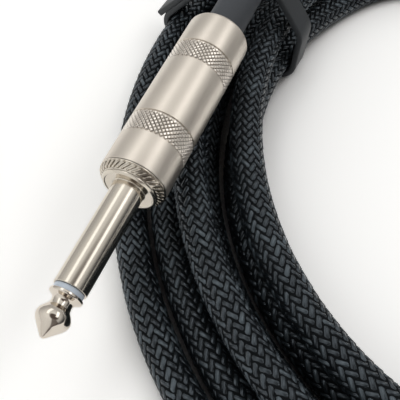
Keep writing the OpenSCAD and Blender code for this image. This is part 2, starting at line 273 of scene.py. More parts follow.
@dataclass
class ShaderSheet(NodeSheet):
    """A material's node tree.

    Args:
        material: the material.
    """

    material: Material | None = None

    @classmethod
    def named(cls, name: str) -> "ShaderSheet":
        """Starts an empty material.

        Args:
            name: the material's name.

        Returns:
            The sheet.
        """
        material = bpy.data.materials.new(name)
        material.use_nodes = True
        material.node_tree.nodes.clear()
        return cls(material.node_tree, "ShaderNode", material)

    def place(self) -> Socket:
        """Where a point lies on the piece."""
        return self.node("TexCoord").outputs["Object"]

    def grain(self, broad: float, fine: float) -> Node:
        """The shared grain group, set to two scales."""
        inputs = {"Place": self.place(), "Broad": broad, "Fine": fine}
        return self.node("Group", inputs, node_tree=surface_grain())

    def painted_shade_in_hollows(
        self, reach: float, depth: float, start: float, colour: Socket | Colour
    ) -> Node:
        """The shared group of painted shade in grooves and gaps: how far it looks, how dark it gets
        and where it starts.
        """
        inputs = {"Reach": reach, "Depth": depth, "From": start, "Colour": colour}
        return self.node("Group", inputs, node_tree=painted_hollow_shade())

    def close(self, inputs: dict) -> Material:
        """Adds the surface shader, joins it to the output and returns the material."""
        self.node("OutputMaterial", {"Surface": self.first("BsdfPrincipled", inputs)})
        return self.material


@dataclass(frozen=True)
class MetalFinish:
    """Nickel or tin plate with clouded shine and fine rings from its turning.

    Args:
        name: the material's name.
        colour: the plating's colour.
        roughness: how soft its reflections are.
        rings: how strongly the turning rings stir the surface.
        groove_shade: how much painted shade darkens the bottoms of its grooves.
        ring_scale: how fine the rings are.
    """

    name: str
    colour: Colour
    roughness: float
    rings: float
    groove_shade: float = 0.6
    ring_scale: float = 9000.0

    def build(self, axis: Vector) -> Material:
        """Makes the material.

        Args:
            axis: the direction that the piece was turned round.

        Returns:
            The material.
        """
        s = ShaderSheet.named(self.name)
        grain = s.grain(broad=90.0, fine=2200.0)
        along = s.vmath("DOT_PRODUCT", s.place(), tuple(axis))
        rings = s.noise(s.vector(s.product(along, self.ring_scale)), scale=1.0, detail=1.0)
        # Clouds and rings stir the roughness, by a tenth at most.
        rough = s.line(grain.outputs["Unevenness"], 0.12, self.roughness)
        rough = s.line(s.less(rings, 0.5), 0.08, rough)
        clouds = [(0.35, tinted(self.colour, 0.93)), (0.62, self.colour)]
        colour = s.ramp(grain.outputs["Cloud"], clouds)
        height = s.total(rings, s.product(grain.outputs["Grain"], 0.5))
        # Painted shade darkens the bottoms of the grooves.
        shaded = s.painted_shade_in_hollows(reach=0.0006, depth=self.groove_shade, start=0.75, colour=colour)
        return s.close(
            {
                "Base Color": shaded.outputs["Colour"],
                "Metallic": 1.0,
                "Roughness": rough,
                "Normal": s.bump(height, self.rings, distance=0.00001),
            }
        )


@dataclass(frozen=True)
class PlasticFinish:
    """A moulded, shrunk or extruded plastic.

    Args:
        name: the material's name.
        colour: its main colour.
        roughness: how dull it is.
        relief: the strength of its fine grain.
        scale: the grain's scale.
        gloss: the strength of its specular shine.
    """

    name: str
    colour: Colour
    roughness: float
    relief: float = 0.15
    scale: float = 900.0
    gloss: float = 0.5

    def build(self) -> Material:
        """Makes the material.

        Returns:
            The material.
        """
        s = ShaderSheet.named(self.name)
        grain = s.grain(broad=120.0, fine=self.scale)
        clouds = [(0.3, self.colour), (0.75, tinted(self.colour, 1.25, 0.004))]
        colour = s.ramp(grain.outputs["Cloud"], clouds)
        return s.close(
            {
                "Base Color": colour,
                "Roughness": s.line(grain.outputs["Unevenness"], 0.3, self.roughness),
                "Specular IOR Level": self.gloss,
                "Normal": s.bump(grain.outputs["Grain"], self.relief, distance=0.0001),
            }
        )


@dataclass(frozen=True)
class YarnFinish:
    """Braiding yarn: a flat bundle of filaments, whose map is laid on every float.

    The attribute "yarn" holds how far across a float a point is, how far along it, and a
    number of the float's own.

    Args:
        name: the material's name.
        shade: the yarn's darkest colour, painted as shade along the sides of its floats.
        body: its usual colour.
        painted_glint: the colour of its palest floats, painted as a highlight along their crowns.
        filaments: filaments side by side in a float.
    """

    name: str = "braid_yarn"
    shade: Colour = (0.002, 0.0025, 0.003, 1.0)
    body: Colour = (0.005, 0.0068, 0.0088, 1.0)
    painted_glint: Colour = (0.075, 0.094, 0.108, 1.0)
    filaments: float = 4.0

    def build(self) -> Material:
        """Makes the material.

        Returns:
            The material.
        """
        s = ShaderSheet.named(self.name)
        laid = s.node("Attribute", attribute_name="yarn")
        across, along, chance = s.split(laid.outputs["Vector"])
        wave = s.math("SINE", s.product(across, TAU * self.filaments))
        # The noise is drawn out along the float, and chance takes each to a place of its own.
        spot = s.vector(s.product(across, 14.0), s.product(along, 1.6), s.product(chance, 40.0))
        hair = s.noise(spot, scale=1.0)
        # A few floats, picked by chance, are paler: random tone, and a painted highlight along the
        # middle of each such float.
        edge = s.less(1.0, s.edge(across, 2.0))
        pale = s.product(s.math("POWER", chance, 2.6), hair, 1.7, s.math("MAXIMUM", edge, 0.0))
        # The filaments give fine stripes, and painted shade darkens each float towards its sides.
        low = s.ramp(s.line(wave, 0.3, s.product(edge, 0.9)), [(0.0, self.shade), (0.8, self.body)])
        relief = s.line(hair, 0.8, s.product(wave, 0.5))
        blend = s.blend(s.math("MINIMUM", pale, 1.0), low, self.painted_glint)
        # Painted shade darkens the gaps between the floats.
        shaded = s.painted_shade_in_hollows(reach=0.0008, depth=0.95, start=0.75, colour=blend)
        return s.close(
            {
                "Base Color": shaded.outputs["Colour"],
                "Roughness": s.line(shaded.outputs["Open"], -0.56, 0.8),
                "Specular IOR Level": 0.7,
                "Specular Tint": (0.79, 0.90, 1.0, 1.0),
                "Normal": s.bump(relief, strength=0.5, distance=0.00006),
            }
        )


@dataclass(frozen=True)
class FloorFinish:
    """A pale sweep that takes soft shadows from the lamps, with painted shade in the slits between
    turns and next to the cable.

    Args:
        name: the material's name.
        colour: its colour.
        lift: how much paler it looks to the camera and in polished metal than it lights others.
    """

    name: str = "pale_floor"
    colour: Colour = (0.93, 0.93, 0.925, 1.0)
    lift: float = 1.46

    def build(self) -> Material:
        """Makes the material.

        Returns:
            The material.
        """
        s = ShaderSheet.named(self.name)
        path = s.node("LightPath")
        seen = s.math("MAXIMUM", path.outputs["Is Camera Ray"], path.outputs["Is Glossy Ray"])
        lift = s.line(seen, self.lift - 1.0, 1.0)
        # Painted shade darkens the floor where the cable closes it in.
        shade = s.painted_shade_in_hollows(reach=0.009, depth=1.0, start=0.5, colour=self.colour)
        colour = s.vmath("SCALE", shade.outputs["Colour"], scale=lift)
        return s.close({"Base Color": colour, "Roughness": 0.9, "Specular IOR Level": 0.2})


class Stuff(Enum):
    """The plain stuffs of the pieces inside the plugs, by the solids' short names."""

    PALE = ("inner_tube", "liner", "core")
    FIBRE = ("rear_washer",)
    TINNED = ("tip_lug", "clamp")
    RUBBER = ("jacket",)
    COPPER = ("shield",)


# ---------------------------------------------------------------- geometry nodes


@dataclass
class GrowthSheet(NodeSheet):
    """A geometry node tree that grows repeated forms, ending in one real mesh.

    Args:
        into: the node that gives the tree's own inputs.
    """

    into: Node | None = None

    @classmethod
    def named(cls, name: str, counts: str, sizes: str) -> "GrowthSheet":
        """Starts a tree that takes a geometry, a material and some numbers.

        Args:
            name: the tree's name.
            counts: the names of its whole numbers, with spaces between.
            sizes: the names of its other numbers.

        Returns:
            The sheet.
        """
        tree = bpy.data.node_groups.new(name, "GeometryNodeTree")
        tree.interface.new_socket("Geometry", in_out="OUTPUT", socket_type="NodeSocketGeometry")
        for kind, labels in (
            ("Geometry", "Geometry"), ("Int", counts), ("Float", sizes), ("Material", "Material"),
        ):  # fmt: skip
            for label in labels.split():
                tree.interface.new_socket(label, in_out="INPUT", socket_type="NodeSocket" + kind)
        return cls(tree, "GeometryNode", tree.nodes.new("NodeGroupInput"))

    def turned(self, radius: object, angle: object) -> tuple[Socket, Socket]:
        """A radius's two parts at an angle."""
        return tuple(self.product(radius, self.math(how, angle)) for how in ("COSINE", "SINE"))

    def given(self, name: str) -> Socket:
        """One of the tree's own inputs."""
        return self.into.outputs[name]

    def keep(self, geometry: Socket, name: str, value: Socket) -> Socket:
        """Stores a vector on every point.

        Args:
            geometry: the points or mesh.
            name: the name to store it by.
            value: the vector.

        Returns:
            The geometry with the vector.
        """
        settings = {"data_type": "FLOAT_VECTOR", "domain": "POINT"}
        made = self.node("StoreNamedAttribute", {0: geometry, "Name": name}, **settings)
        self.tree.links.new(value, next(i for i in made.inputs if i.name == "Value" and i.enabled))
        return made.outputs[0]

    def kept(self, name: str) -> list[Socket]:
        """The three values of a vector that was stored on every point."""
        made = self.node("InputNamedAttribute", {"Name": name}, data_type="FLOAT_VECTOR")
        return self.split(next(o for o in made.outputs if o.name == "Attribute" and o.enabled))

    def seats(self, columns: Socket, rows: Socket) -> tuple[Socket, Socket, Socket]:
        """Points for a net of columns and rows.

        Args:
            columns: how many columns.
            rows: how many rows.

        Returns:
            The points, and each one's column and row.
        """
        points = self.first("Points", {"Count": self.product(columns, rows)})
        index = self.first("InputIndex")
        row = self.math("FLOOR", self.math("DIVIDE", self.total(index, 0.5), columns))
        column = self.less(index, self.product(row, columns))
        return points, column, row

    def inner(self, value: Socket) -> Socket:
        """Whether a point is one of a unit patch's inner ones, by its place from -0.5 to 0.5."""
        return self.math("LESS_THAN", self.math("ABSOLUTE", value), 0.4)

    def patches(self, points: Socket, across: int, along: int) -> Socket:
        """Puts a unit patch on every point and makes it real.

        Args:
            points: the points.
            across: how many points the patch has along its x.
            along: how many along its y.

        Returns:
            The mesh, with each point's place in its patch kept as local.
        """
        sizes = {"Size X": 1.0, "Size Y": 1.0, "Vertices X": across, "Vertices Y": along}
        grid = self.first("MeshGrid", sizes)
        grid = self.keep(grid, "local", self.first("InputPosition"))
        placed = self.first("InstanceOnPoints", {"Points": points, "Instance": grid})
        return self.first("RealizeInstances", {0: placed})

    def close(self, geometry: Socket, position: Socket, smooth: bool = True) -> Tree:
        """Moves the points to their places, sets the material and ends the tree.

        Args:
            geometry: the mesh.
            position: where its points go.
            smooth: whether its faces are shaded smooth.

        Returns:
            The tree.
        """
        moved = self.first("SetPosition", {"Geometry": geometry, "Position": position})
        merged = self.first("MergeByDistance", {"Geometry": moved, "Distance": 1e-6})
        shaded = self.first("SetShadeSmooth", {"Geometry": merged, "Shade Smooth": smooth})
        real = self.first("RealizeInstances", {0: shaded})
        inputs = {"Geometry": real, "Material": self.given("Material")}
        dressed = self.first("SetMaterial", inputs)
        out = self.tree.nodes.new("NodeGroupOutput")
        self.tree.links.new(dressed, out.inputs[0])
        return self.tree


def grow(seed: Piece, tree: Tree, values: dict) -> Piece:
    """Runs a geometry node tree on an object and keeps the result as a plain mesh.

    Args:
        seed: the object that it starts from; it becomes the piece.
        tree: the tree.
        values: the tree's inputs by name.

    Returns:
        The piece.
    """
    modifier = seed.modifiers.new(tree.name, "NODES")
    modifier.node_group = tree
    for item in tree.interface.items_tree:
        if item.in_out == "INPUT" and item.name in values:
            modifier[item.identifier] = values[item.name]
    return bake(seed)


@cache
def braid_tree() -> Tree:
    """Grows the braid's floats: short crowned stretches of yarn in columns round the cable.

    Neighbouring columns lean opposite ways, as in a two-over, two-under braid.

    Returns:
        The tree. It starts from the cable's middle line.
    """
    sizes = "Radius Period Start End Rise Slope Reach Width Twist"
    g = GrowthSheet.named("braid_over_line", "Columns", sizes)
    columns, period = g.given("Columns"), g.given("Period")
    curve = g.first("MeshToCurve", {0: g.given("Geometry")})
    curve = g.first("SetCurveNormal", {0: curve}, mode="Z_UP")
    stretch = g.less(g.given("End"), g.given("Start"))
    rows = g.math("FLOOR", g.math("DIVIDE", stretch, period))
    points, column, row = g.seats(columns, rows)
    odd = g.math("MODULO", column, 2.0)
    chance = g.node("FunctionNodeRandomValue", {"Seed": 7}, data_type="FLOAT")
    chance_out = next(o for o in chance.outputs if o.enabled)
    share = g.math("DIVIDE", g.total(column, 0.5), columns)
    along = g.line(g.total(row, 0.5, g.product(odd, 0.5)), period, g.given("Start"))
    lean = g.line(odd, 2.0, -1.0)
    points = g.keep(points, "seat", g.vector(share, along, lean))
    points = g.keep(points, "chance", g.vector(chance_out))
    mesh = g.patches(points, 4, 5)
    x, y, _ = g.kept("local")
    seat_share, seat_along, seat_lean = g.kept("seat")
    chance_x, _, _ = g.kept("chance")
    mesh = g.keep(mesh, "yarn", g.vector(y, x, chance_x))
    # The inner points move out along the float, so that it stays high until its ends dip.
    x = g.product(x, g.line(g.inner(x), 1.2, 1.0))
    end = g.edge(x, 5.0)
    crown = g.less(1.0, g.edge(y, 2.1))
    # The ends sink and get narrower, and chance lowers some floats and raises others.
    narrow = g.line(end, -0.12, 1.0)
    stir = g.line(chance_x, 0.3, 0.85)
    height = g.product(g.given("Rise"), g.less(g.product(crown, stir), g.product(end, 0.9)))
    own = g.product(x, g.given("Reach"))
    # The floats that lean forward are a little wider than the others.
    other = g.product(y, narrow, g.given("Width"), g.line(seat_lean, 0.08, 1.0))
    crossed = g.less(own, g.product(seat_lean, other))
    turn = g.total(seat_share, g.math("DIVIDE", crossed, columns))
    passed = g.product(g.given("Slope"), g.total(g.product(seat_lean, own), other))
    reach = g.total(seat_along, g.product(period, passed))
    sample = g.node("SampleCurve", {0: curve, "Length": reach}, mode="LENGTH")
    spot, ahead, side = (sample.outputs[n] for n in ("Position", "Tangent", "Normal"))
    over = g.vmath("CROSS_PRODUCT", ahead, side)
    angle = g.line(turn, TAU, g.product(g.given("Twist"), reach))
    out = g.total(g.given("Radius"), height)
    for way, far in zip((side, over), g.turned(out, angle)):
        spot = g.vmath("ADD", spot, g.vmath("SCALE", way, scale=far))
    px, py, pz = g.split(spot)
    return g.close(mesh, g.vector(px, py, g.math("MAXIMUM", pz, 0.0)))


@cache
def knurl_tree() -> Tree:
    """Grows a net of diamond points round the plug's axis, in the plug's own millimetres.

    Returns:
        The tree.
    """
    g = GrowthSheet.named("diamond_knurl", "Around Rows", "Radius Depth Start Width Flat")
    around, rows = g.given("Around"), g.given("Rows")
    points, column, row = g.seats(around, rows)
    half = g.math("MODULO", row, 2.0)
    share = g.math("DIVIDE", g.line(half, 0.5, column), around)
    pitch = g.math("DIVIDE", g.given("Width"), g.total(rows, 1.0))
    along = g.line(g.total(row, 1.0), pitch, g.given("Start"))
    points = g.keep(points, "seat", g.vector(share, along, pitch))
    mesh = g.patches(points, 4, 4)
    local_x, local_y, _ = g.kept("local")
    seat_share, seat_along, seat_pitch = g.kept("seat")
    # The four inner points of a patch are the flat top of a diamond, and its rim is the root.
    inner_x, inner_y = g.inner(local_x), g.inner(local_y)
    spread = g.line(g.given("Flat"), 3.0, -1.0)
    x = g.product(local_x, g.line(inner_x, spread, 1.0))
    y = g.product(local_y, g.line(inner_y, spread, 1.0))
    right = g.total(x, y)
    up = g.less(y, x)
    height = g.product(g.given("Depth"), inner_x, inner_y)
    radius = g.total(g.less(g.given("Radius"), g.given("Depth")), height)
    angle = g.product(g.total(seat_share, g.math("DIVIDE", g.product(right, 0.5), around)), TAU)
    level = g.line(up, seat_pitch, seat_along)
    place = g.vector(*g.turned(radius, angle), level)
    return g.close(mesh, place, smooth=False)


@cache
def teeth_tree() -> Tree:
    """Grows slanted rounded teeth on a cone round the plug's axis, in its own millimetres.

    Returns:
        The tree.
    """
    sizes = "Small Large Front Back Height Fill Sweep"
    g = GrowthSheet.named("slanted_teeth", "Teeth", sizes)
    teeth = g.given("Teeth")
    points, column, _ = g.seats(teeth, g.first("FunctionNodeInputInt", integer=1))
    points = g.keep(points, "seat", g.vector(g.math("DIVIDE", column, teeth)))
    mesh = g.patches(points, 7, 7)
    x, y, _ = g.kept("local")
    seat_share, _, _ = g.kept("seat")
    share = g.total(y, 0.5)
    # A tooth is rounder across than along. Its rim lies a fifth of its height under the cone.
    round_x = g.less(1.0, g.edge(x, 3.0))
    round_y = g.less(1.0, g.edge(y, 6.0))
    height = g.product(g.given("Height"), g.line(g.product(round_x, round_y), 1.2, -0.2))
    wide = g.less(g.given("Large"), g.given("Small"))
    radius = g.total(g.line(wide, share, g.given("Small")), height)
    turn = g.total(seat_share, g.math("DIVIDE", g.product(x, g.given("Fill")), teeth))
    turn = g.total(turn, g.math("DIVIDE", g.product(share, g.given("Sweep")), teeth))
    angle = g.product(turn, TAU)
    deep = g.less(g.given("Back"), g.given("Front"))
    # It stands off the cone's slope, so that its height also takes it forward.
    level = g.line(deep, share, g.given("Front"))
    level = g.less(level, g.product(height, 0.5))
    place = g.vector(*g.turned(radius, angle), level)
    return g.close(mesh, place)


# ---------------------------------------------------------------- mesh helpers


def mesh_object(
    name: str,
    points: Sequence[Sequence[float]],
    faces: Sequence[Sequence[int]],
    material: Material,
    crease: float | None = None,
) -> Piece:
    """Makes a smooth-shaded mesh object in the scene.

    Args:
        name: the object's name.
        points: its points, in metres in the row frame.
        faces: its faces, as point numbers.
        material: its material.
        crease: the angle in degrees past which an edge stays sharp, or None.

    Returns:
        The object.
    """
    mesh = bpy.data.meshes.new(name)
    mesh.from_pydata([tuple(p) for p in points], [], [tuple(f) for f in faces])
    mesh.validate()
    mesh.materials.append(material)
    mesh.polygons.foreach_set("use_smooth", [True] * len(mesh.polygons))
    if crease is not None:
        mesh.set_sharp_from_angle(angle=math.radians(crease))
    return linked(name, mesh)


def linked(name: str, data: bpy.types.ID) -> Piece:
    """Puts a mesh, a lamp or a camera in the scene.

    Args:
        name: the object's name.
        data: the mesh, lamp or camera.

    Returns:
        The new object.
    """
    made = bpy.data.objects.new(name, data)
    bpy.context.scene.collection.objects.link(made)
    return made


def eased(a: object, b: object, leave: object, arrive: object, w: float) -> object:
    """A place on a smooth curve between two points or values.

    Args:
        a: where it starts.
        b: where it ends.
        leave: its pace at the start.
        arrive: its pace at the end.
        w: the share of the way.

    Returns:
        The point or value.
    """
    return (
        a * (2 * w**3 - 3 * w**2 + 1)
        + leave * (w**3 - 2 * w**2 + w)
        + b * (-2 * w**3 + 3 * w**2)
        + arrive * (w**3 - w**2)
    )


def rounded(corners: Sequence[Point], steps: int = 5) -> Outline:
    """Rounds an outline's corners.

    Args:
        corners: (x, y, radius) for each corner, in order.
        steps: how many points a rounded corner takes.

    Returns:
        The outline's points.
    """
    out: Outline = []
    last = len(corners) - 1
    for i, (x, y, radius) in enumerate(corners):
        if i in (0, last) or radius <= 0:
            out.append((x, y))
            continue
        here = Vector((x, y))
        to_last = Vector(corners[i - 1][:2]) - here
        to_next = Vector(corners[i + 1][:2]) - here
        angle = to_last.angle(to_next)
        if angle > math.pi - 0.02:
            out.append((x, y))
            continue
        reach = min(radius / math.tan(angle / 2), 0.48 * to_last.length, 0.48 * to_next.length)
        size = reach * math.tan(angle / 2)
        back, on = to_last.normalized(), to_next.normalized()
        middle = here + (back + on).normalized() * (size / math.sin(angle / 2))
        start = here + back * reach - middle
        end = here + on * reach - middle
        sweep = start.angle(end)
        for k in range(steps + 1):
            w = k / steps
            swung = start * math.sin((1 - w) * sweep) + end * math.sin(w * sweep)
            spot = middle + swung / math.sin(sweep)
            out.append((spot.x, spot.y))
    return out


def flowing(knots: Outline, parts: int = 6) -> Outline:
    """A smooth outline through a few knots.

    Args:
        knots: the points that it passes.
        parts: how many steps it takes from one knot to the next.

    Returns:
        The outline's points.
    """
    out: Outline = []
    for i in range(len(knots) - 1):
        before = knots[max(i - 1, 0)]
        a, b = knots[i], knots[i + 1]
        after = knots[min(i + 2, len(knots) - 1)]
        for k in range(parts):
            leave = [(b[c] - before[c]) / 2 for c in (0, 1)]
            arrive = [(after[c] - a[c]) / 2 for c in (0, 1)]
            out.append(tuple(eased(a[c], b[c], leave[c], arrive[c], k / parts) for c in (0, 1)))
    out.append(knots[-1])
    return out


def skin(rows: Sequence[Sequence[int]], flip: bool = False) -> list[list[int]]:
    """Faces between rings of points, with those that shrink to a line left out.

    Args:
        rows: each ring's point numbers, in order round it.
        flip: whether the faces look the other way.

    Returns:
        The faces.
    """
    faces = []
    for low, high in zip(rows, rows[1:]):
        for i in range(len(low)):
            j = (i + 1) % len(low)
            ring = [low[i], low[j], high[j], high[i]]
            if flip:
                ring[1:] = ring[:0:-1]
            face = [p for k, p in enumerate(ring) if p != ring[k - 1]]
            if len(face) > 2:
                faces.append(face)
    return faces


def stacked(count: int, n: int) -> list[list[int]]:
    """The point numbers of a count of rings of n points each, one ring after the other."""
    return [list(range(i * n, (i + 1) * n)) for i in range(count)]


def lathe(
    profile: Outline, place: Matrix, around: int, closed: bool
) -> tuple[list[Vector], list[list[int]]]:
    """Turns a profile round a plug's axis.

    Args:
        profile: (radius, distance along the axis) in millimetres, from the front to the back
            along the outside.
        place: takes the plug's own millimetres to the row frame's metres.
        around: how many steps the turn takes.
        closed: whether the profile's end joins its start.

    Returns:
        The points and faces.
    """
    points: list[Vector] = []
    rows: list[list[int]] = []
    for radius, z in profile:
        if radius < 1e-4:
            rows.append([len(points)] * around)
            points.append(place @ Vector((0, 0, z)))
            continue
        rows.append([len(points) + i for i in range(around)])
        for i in range(around):
            a = TAU * i / around
            points.append(place @ Vector((radius * math.cos(a), radius * math.sin(a), z)))
    return points, skin(rows + rows[:1] if closed else rows)


def bake(piece: Piece) -> Piece:
    """Turns a piece with modifiers into a plain mesh.

    Args:
        piece: the piece, which is changed.

    Returns:
        The same piece.
    """
    bpy.context.view_layer.update()
    graph = bpy.context.evaluated_depsgraph_get()
    plain = bpy.data.meshes.new_from_object(piece.evaluated_get(graph))
    old = piece.data
    piece.modifiers.clear()
    piece.data = plain
    bpy.data.meshes.remove(old)
    return piece


def join(name: str, pieces: Sequence[Piece], crease: float) -> Piece:
    """Joins plain meshes into one object.

    Args:
        name: the new object's name.
        pieces: what it is made of; they are used up.
        crease: the angle in degrees past which an edge stays sharp.

    Returns:
        The joined object.
    """
    bm = bmesh.new()
    materials: list[Material] = []
    for piece in pieces:
        start = len(bm.faces)
        shift = []
        for slot in piece.data.materials:
            if slot not in materials:
                materials.append(slot)
            shift.append(materials.index(slot))
        bm.from_mesh(piece.data)
        bm.faces.ensure_lookup_table()
        for face in bm.faces[start:]:
            face.material_index = shift[face.material_index] if shift else 0
    mesh = bpy.data.meshes.new(name)
    bm.to_mesh(mesh)
    bm.free()
    for material in materials:
        mesh.materials.append(material)
    mesh.set_sharp_from_angle(angle=math.radians(crease))
    for piece in pieces:
        bpy.data.objects.remove(piece)
    return linked(name, mesh)


def settle(piece: Piece, body: str, slot: str, *nodes: str) -> None:
    """Puts a finished piece on its body and in place of its solids.

    Args:
        piece: the piece.
        body: the body that it rides on.
        slot: not used.
        nodes: the solids that it replaces.
    """
    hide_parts(*nodes)
    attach(piece, body)
    LOG.info("%s: %d faces on %s", piece.name, len(piece.data.polygons), body)


# ---------------------------------------------------------------- the route


@dataclass(frozen=True)
class PlugPlace:
    """Where a plug lies.

    Args:
        at: the middle of its collar's face, in millimetres.
        turn: its heading in degrees, clockwise from the row frame's y.
        rise: how steeply it climbs towards the cable, in degrees.
    """

    at: Point
    turn: float
    rise: float

    @property
    def heading(self) -> Vector:
        """The way the cable leaves it.

        Returns:
            A direction of length 1.
        """
        turn, rise = math.radians(self.turn), math.radians(self.rise)
        flat = math.cos(rise)
        return Vector((flat * math.sin(turn), flat * math.cos(turn), math.sin(rise)))

    def matrix(self, stand: Vector) -> Matrix:
        """Takes the plug's own millimetres to the row frame's metres.

        Args:
            stand: how far the whole part is moved, in millimetres.

        Returns:
            The matrix.
        """
        z = self.heading
        x = Vector((math.cos(math.radians(self.turn)), -math.sin(math.radians(self.turn)), 0))
        y = z.cross(x)
        turned = Matrix((x, y, z)).transposed().to_4x4()
        return Matrix.Scale(MM, 4) @ Matrix.Translation(Vector(self.at) + stand) @ turned

    def along(self, z: float) -> Vector:
        """A point on the plug's axis, in millimetres."""
        return Vector(self.at) + z * self.heading


@dataclass(frozen=True)
class Route:
    """The cable's whole way, from inside one handle round the coil to the other.

    Sizes are in millimetres and repeat those of the solids. A place in the coil is given in
    turns, counted from where the strap crosses it, and a pair of such values is the middle of a
    change and how long it takes, or half of that for the tuck.

    Args:
        cord_d: the cable's thickness over the braid.
        lower_r: the lower layer's radius at turn 0.
        step_in: how much it shrinks with each turn.
        tuck_in: how far the cable is drawn in at the tuck.
        upper_r: the upper layer's radius at turn 5.
        step_out: how much it grows with each turn.
        drawn_in: how far the coil is pressed in on its right side.
        layer_gap: the room between the layers.
        strap_t: the strap's thickness.
        tie_angle: where the strap crosses the coil, in degrees from the right.
        lower_mid: the lower layer's middle.
        upper_mid: the upper layer's middle.
        shift: where the cable passes from the lower spiral to the upper one.
        climb: where it climbs to the upper layer.
        tuck: where it is drawn in.
        lift_degrees: how far from the strap it starts to rise over it.
        strap_room: its room over the strap.
        rest_share: the height of its middle over the floor, as a share of its thickness.
        hidden_in: how far inside the handle its line starts.
        straight: how much of it is straight at the heat-shrink's end.
        first_ring: the ring that the coil starts with.
        rings: how many rings a turn has.
        all_turns: how many turns the coil has.
        stand: how far the whole part is moved, so that its box stands on the origin.
        plug_a: where the first plug lies.
        plug_b: where the second plug lies.
        handle_end: the back of a handle, along the plug from its collar's face.
        shrink_end: the back of a heat-shrink tube.
        lead_a: points of the free stretch between the first plug and the coil.
        lead_b: points of the free stretch between the coil and the second plug.
    """

    cord_d: float = 7.4
    lower_r: float = 111.9
    step_in: float = 8.0
    tuck_in: float = 2.4
    upper_r: float = 84.2
    step_out: float = 12.2
    drawn_in: float = 54.0
    layer_gap: float = 0.6
    strap_t: float = 1.5
    tie_angle: float = 153.0
    lower_mid: tuple[float, float] = (-4.8, -2.2)
    upper_mid: tuple[float, float] = (-0.8, -4.2)
    shift: tuple[float, float] = (4.4, 0.4)
    climb: tuple[float, float] = (4.25, 0.2)
    tuck: tuple[float, float] = (4.03, 0.13)
    lift_degrees: float = 30.0
    strap_room: float = 0.25
    rest_share: float = 0.4
    hidden_in: float = 2.0
    straight: float = 8.0
    first_ring: int = 16
    rings: int = 48
    all_turns: int = 6
    stand: Vector = field(default_factory=lambda: Vector((67.74, -40.91, 0)))
    plug_a: PlugPlace = PlugPlace((-107.1, -20.6, 21.5), 23.9, 2.5)
    plug_b: PlugPlace = PlugPlace((-34.7, 106.8, 14.0), 220.0, 0.0)
    handle_end: float = 42.4
    shrink_end: float = 69.4
    lead_a: tuple[Point, ...] = (
        (-73.5, 55.5, 25.2), (-69, 66.5, 25.2), (-65.2, 77, 25), (-62.2, 87, 23.8),
        (-59.1, 96.5, 20.8), (-54, 106.5, 15.7), (-45.5, 114.5, 10.2), (-35, 119, 6),
        (-23.5, 119.5, 3.7), (-12.5, 116, 3), (-3.5, 109.5, 3), (4.5, 100.5, 3), (12.2, 88.5, 3),
    )  # fmt: skip
    lead_b: tuple[Point, ...] = ((-84.5, 44.2, 13.3), (-82.3, 48.9, 13.8))

    def coil_point(self, t: float) -> Vector:
        """The middle of the cable in the coil.

        Args:
            t: how many turns it has made.

        Returns:
            The point, in millimetres.
        """
        a = math.radians(self.tie_angle - 360 * t)
        w = smooth_step((t - self.shift[0]) / self.shift[1] + 0.5)
        tucked = min(1.0, abs(t - self.tuck[0]) / self.tuck[1])
        tuck = math.cos(math.pi / 2 * tucked) ** 2 * self.tuck_in
        lower, upper = self.lower_r - self.step_in * t, self.upper_r + self.step_out * (t - 5)
        spiral = mix(lower, upper, w) - tuck
        mid = Vector([mix(a, b, w) for a, b in zip(self.lower_mid, self.upper_mid)])
        far = (1 + math.cos(a)) / 2
        out = spiral - self.drawn_in * far * far
        along = self.drawn_in * far * math.sin(a)
        low = self.rest_share * self.cord_d
        off = 360 * abs(t - round(t))
        lift = 0.0
        if off < self.lift_degrees:
            share = math.cos(math.radians(90 * off / self.lift_degrees))
            lift = (self.strap_t + self.strap_room) * share**2
        climbed = smooth_step((t - self.climb[0]) / self.climb[1] + 0.5)
        climb = (self.cord_d + self.layer_gap) * climbed
        x = mid.x + out * math.cos(a) - along * math.sin(a)
        y = mid.y + out * math.sin(a) + along * math.cos(a)
        return Vector((x, y, low + lift + climb))

    def knots(self) -> list[Vector]:
        """The points that the cable passes, in order.

        Returns:
            The points, in millimetres.
        """
        stations = (
            self.handle_end + self.hidden_in, self.shrink_end - self.straight, self.shrink_end,
        )  # fmt: skip
        first = [self.plug_a.along(z) for z in stations]
        last = [self.plug_b.along(z) for z in reversed(stations)]
        turns = [
            i / self.rings for i in range(self.first_ring, self.all_turns * self.rings + 1)
        ]
        return (
            first
            + [Vector(p) for p in self.lead_a]
            + [self.coil_point(t) for t in turns]
            + [Vector(p) for p in self.lead_b]
            + last
        )

    def line(self, step: float = 2.2) -> list[Vector]:
        """The cable's middle line in even steps, in the row frame's metres.

        Args:
            step: distance from one point to the next, in millimetres.

        Returns:
            The points.
        """
        knots = self.knots()
        dense: list[Vector] = []
        for i in range(len(knots) - 1):
            a, b = knots[i], knots[i + 1]
            before = knots[i - 1] if i else a + (a - b)
            after = knots[i + 2] if i + 2 < len(knots) else b + (b - a)
            ta = math.sqrt(max((a - before).length, 1e-6))
            tb = math.sqrt((b - a).length)
            tc = math.sqrt(max((after - b).length, 1e-6))
            m0 = ((a - before) / ta - (b - before) / (ta + tb) + (b - a) / tb) * tb
            m1 = ((b - a) / tb - (after - a) / (tb + tc) + (after - b) / tc) * tb
            parts = max(2, int((b - a).length / 0.8))
            dense += [eased(a, b, m0, m1, k / parts) for k in range(parts)]
        dense.append(knots[-1])
        even = [dense[0]]
        left = step
        for a, b in zip(dense, dense[1:]):
            gap = (b - a).length
            while gap >= left > 0:
                a = a + (b - a) * (left / gap)
                even.append(a)
                gap = (b - a).length
                left = step
            left -= gap
        if (even[-1] - dense[-1]).length > 0.4 * step:
            even.append(dense[-1])
        return [(p + self.stand) * MM for p in even]


